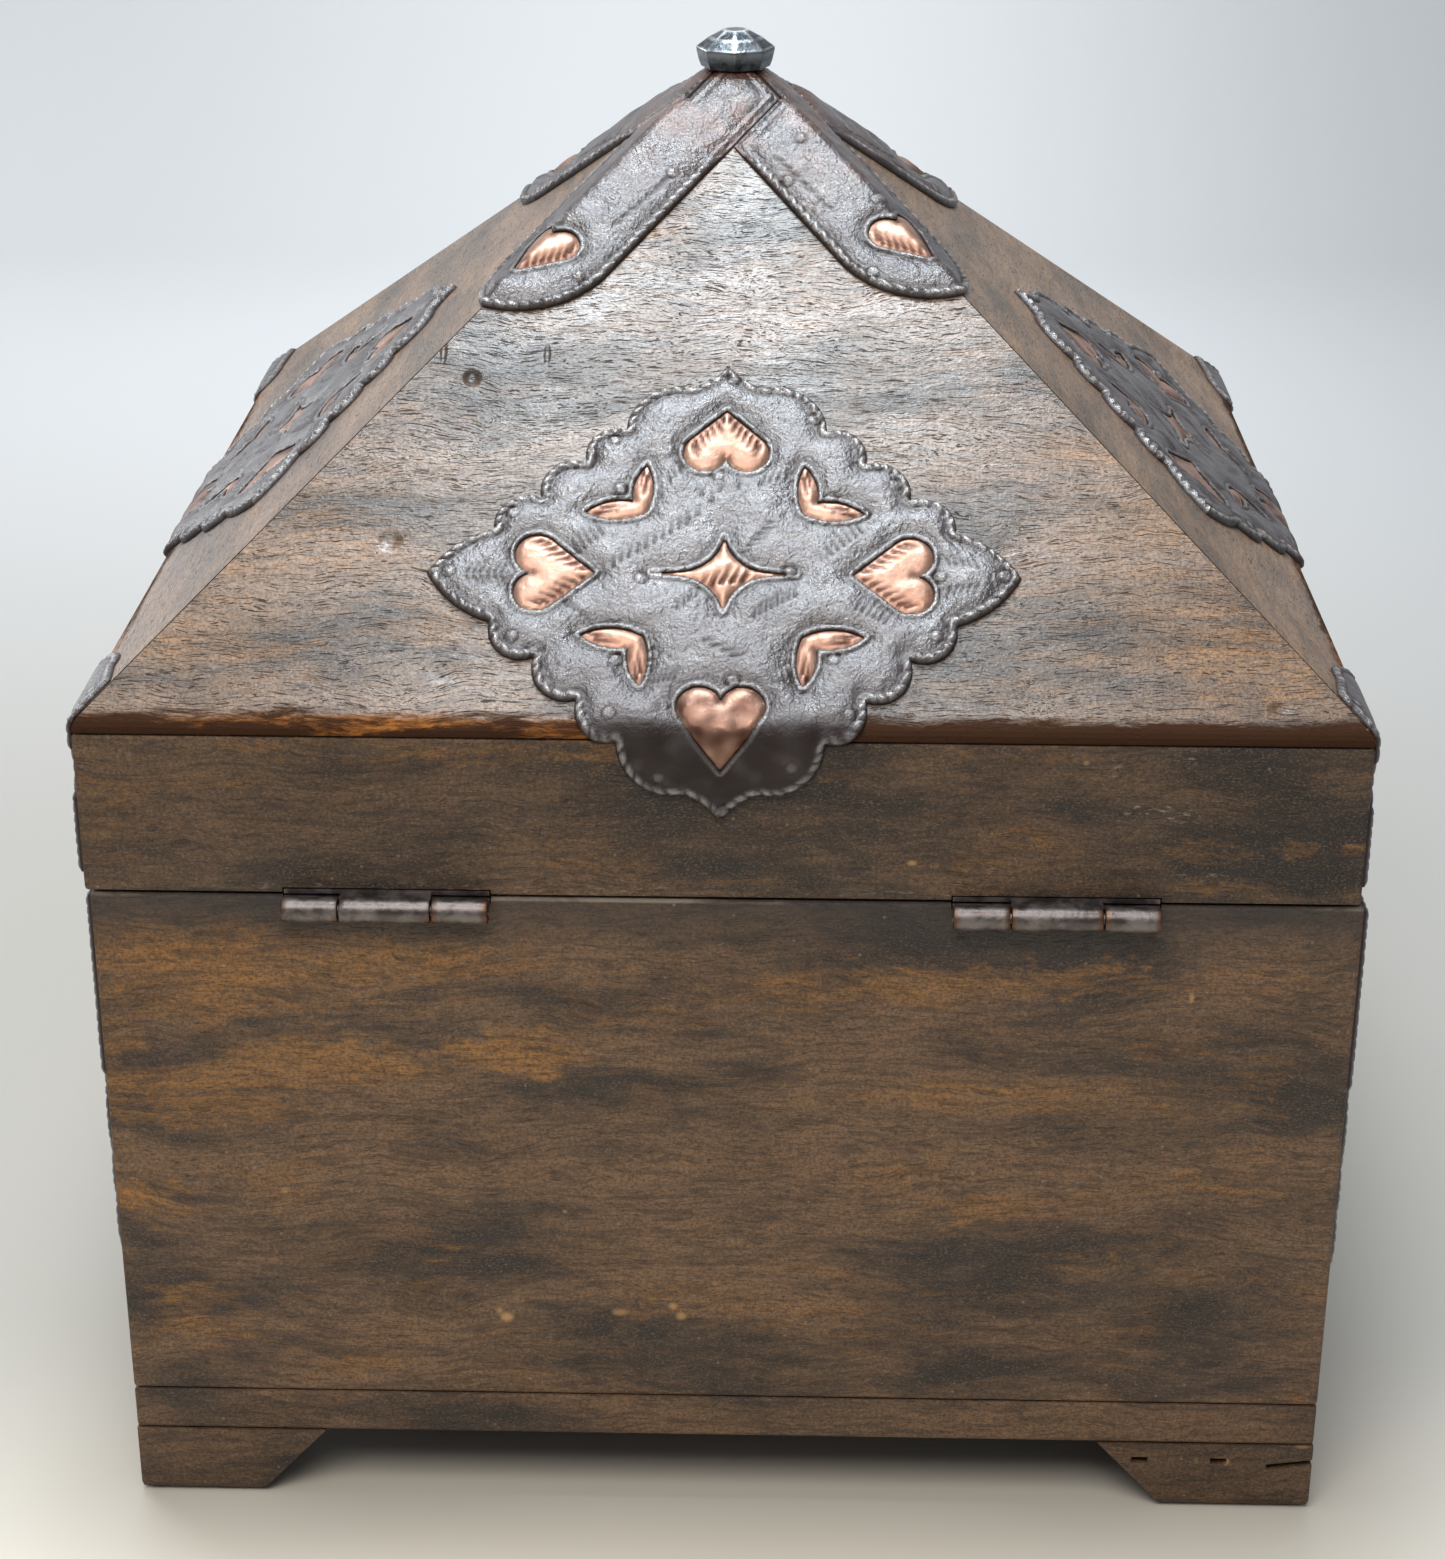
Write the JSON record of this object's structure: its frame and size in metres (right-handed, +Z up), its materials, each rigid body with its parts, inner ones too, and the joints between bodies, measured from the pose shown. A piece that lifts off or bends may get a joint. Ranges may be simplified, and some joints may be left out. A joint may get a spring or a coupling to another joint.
{
  "type": "hinged wooden box with a peaked lid",
  "caption": "Square wooden box on bracket feet, with a hinged lid that rises to a peak, mounted with pierced iron sheet over copper.",
  "frame": {"origin": "middle of the part's whole plan, at the undersides of the feet", "axes": "+Z up, -Y towards the front, +Y towards the hinges, +X to the right as seen from the front"},
  "size_m": [0.2396, 0.2426, 0.2731],
  "materials": {
    "wood": "dark waxed wood, worn orange-brown at the edges",
    "iron_sheet": "hammered dark iron sheet with polished rims",
    "copper_sheet": "bright copper sheet",
    "finial_iron": "polished faceted iron",
    "hinge_steel": "worn grey steel with some rust"
  },
  "bodies": {
    "body": {"body_back": "wood", "body_left": "wood", "body_front": "wood", "body_right": "wood", "bottom_board": "wood", "foot_back_right": "wood", "foot_back_left": "wood", "foot_front_left": "wood", "foot_front_right": "wood", "plate_right_back": "iron_sheet", "plate_right_front": "iron_sheet", "plate_left_back": "iron_sheet", "plate_left_front": "iron_sheet", "hinge_body_leaf_right": "hinge_steel", "hinge_body_leaf_left": "hinge_steel", "hinge_pin_right": "hinge_steel", "hinge_pin_left": "hinge_steel"},
    "lid": {"rim_back": "wood", "rim_left": "wood", "rim_front": "wood", "rim_right": "wood", "slope_back": "wood", "slope_left": "wood", "slope_front": "wood", "slope_right": "wood", "medallion_back": "iron_sheet", "medallion_left": "iron_sheet", "medallion_front": "iron_sheet", "medallion_right": "iron_sheet", "medallion_copper_back": "copper_sheet", "medallion_copper_left": "copper_sheet", "medallion_copper_front": "copper_sheet", "medallion_copper_right": "copper_sheet", "strap_back_right": "iron_sheet", "strap_back_left": "iron_sheet", "strap_front_left": "iron_sheet", "strap_front_right": "iron_sheet", "strap_copper_back_right": "copper_sheet", "strap_copper_back_left": "copper_sheet", "strap_copper_front_left": "copper_sheet", "strap_copper_front_right": "copper_sheet", "corner_right_front": "iron_sheet", "corner_right_back": "iron_sheet", "corner_left_front": "iron_sheet", "corner_left_back": "iron_sheet", "finial": "finial_iron", "hinge_lid_leaf_right": "hinge_steel", "hinge_lid_leaf_left": "hinge_steel"}
  },
  "joints": [
    {"name": "lid_hinge", "type": "hinge", "parent": "body", "child": "lid", "pos_m": [0, 0.11897, 0.1334], "axis": [-1, 0, 0], "range_deg": [0, 175]}
  ]
}
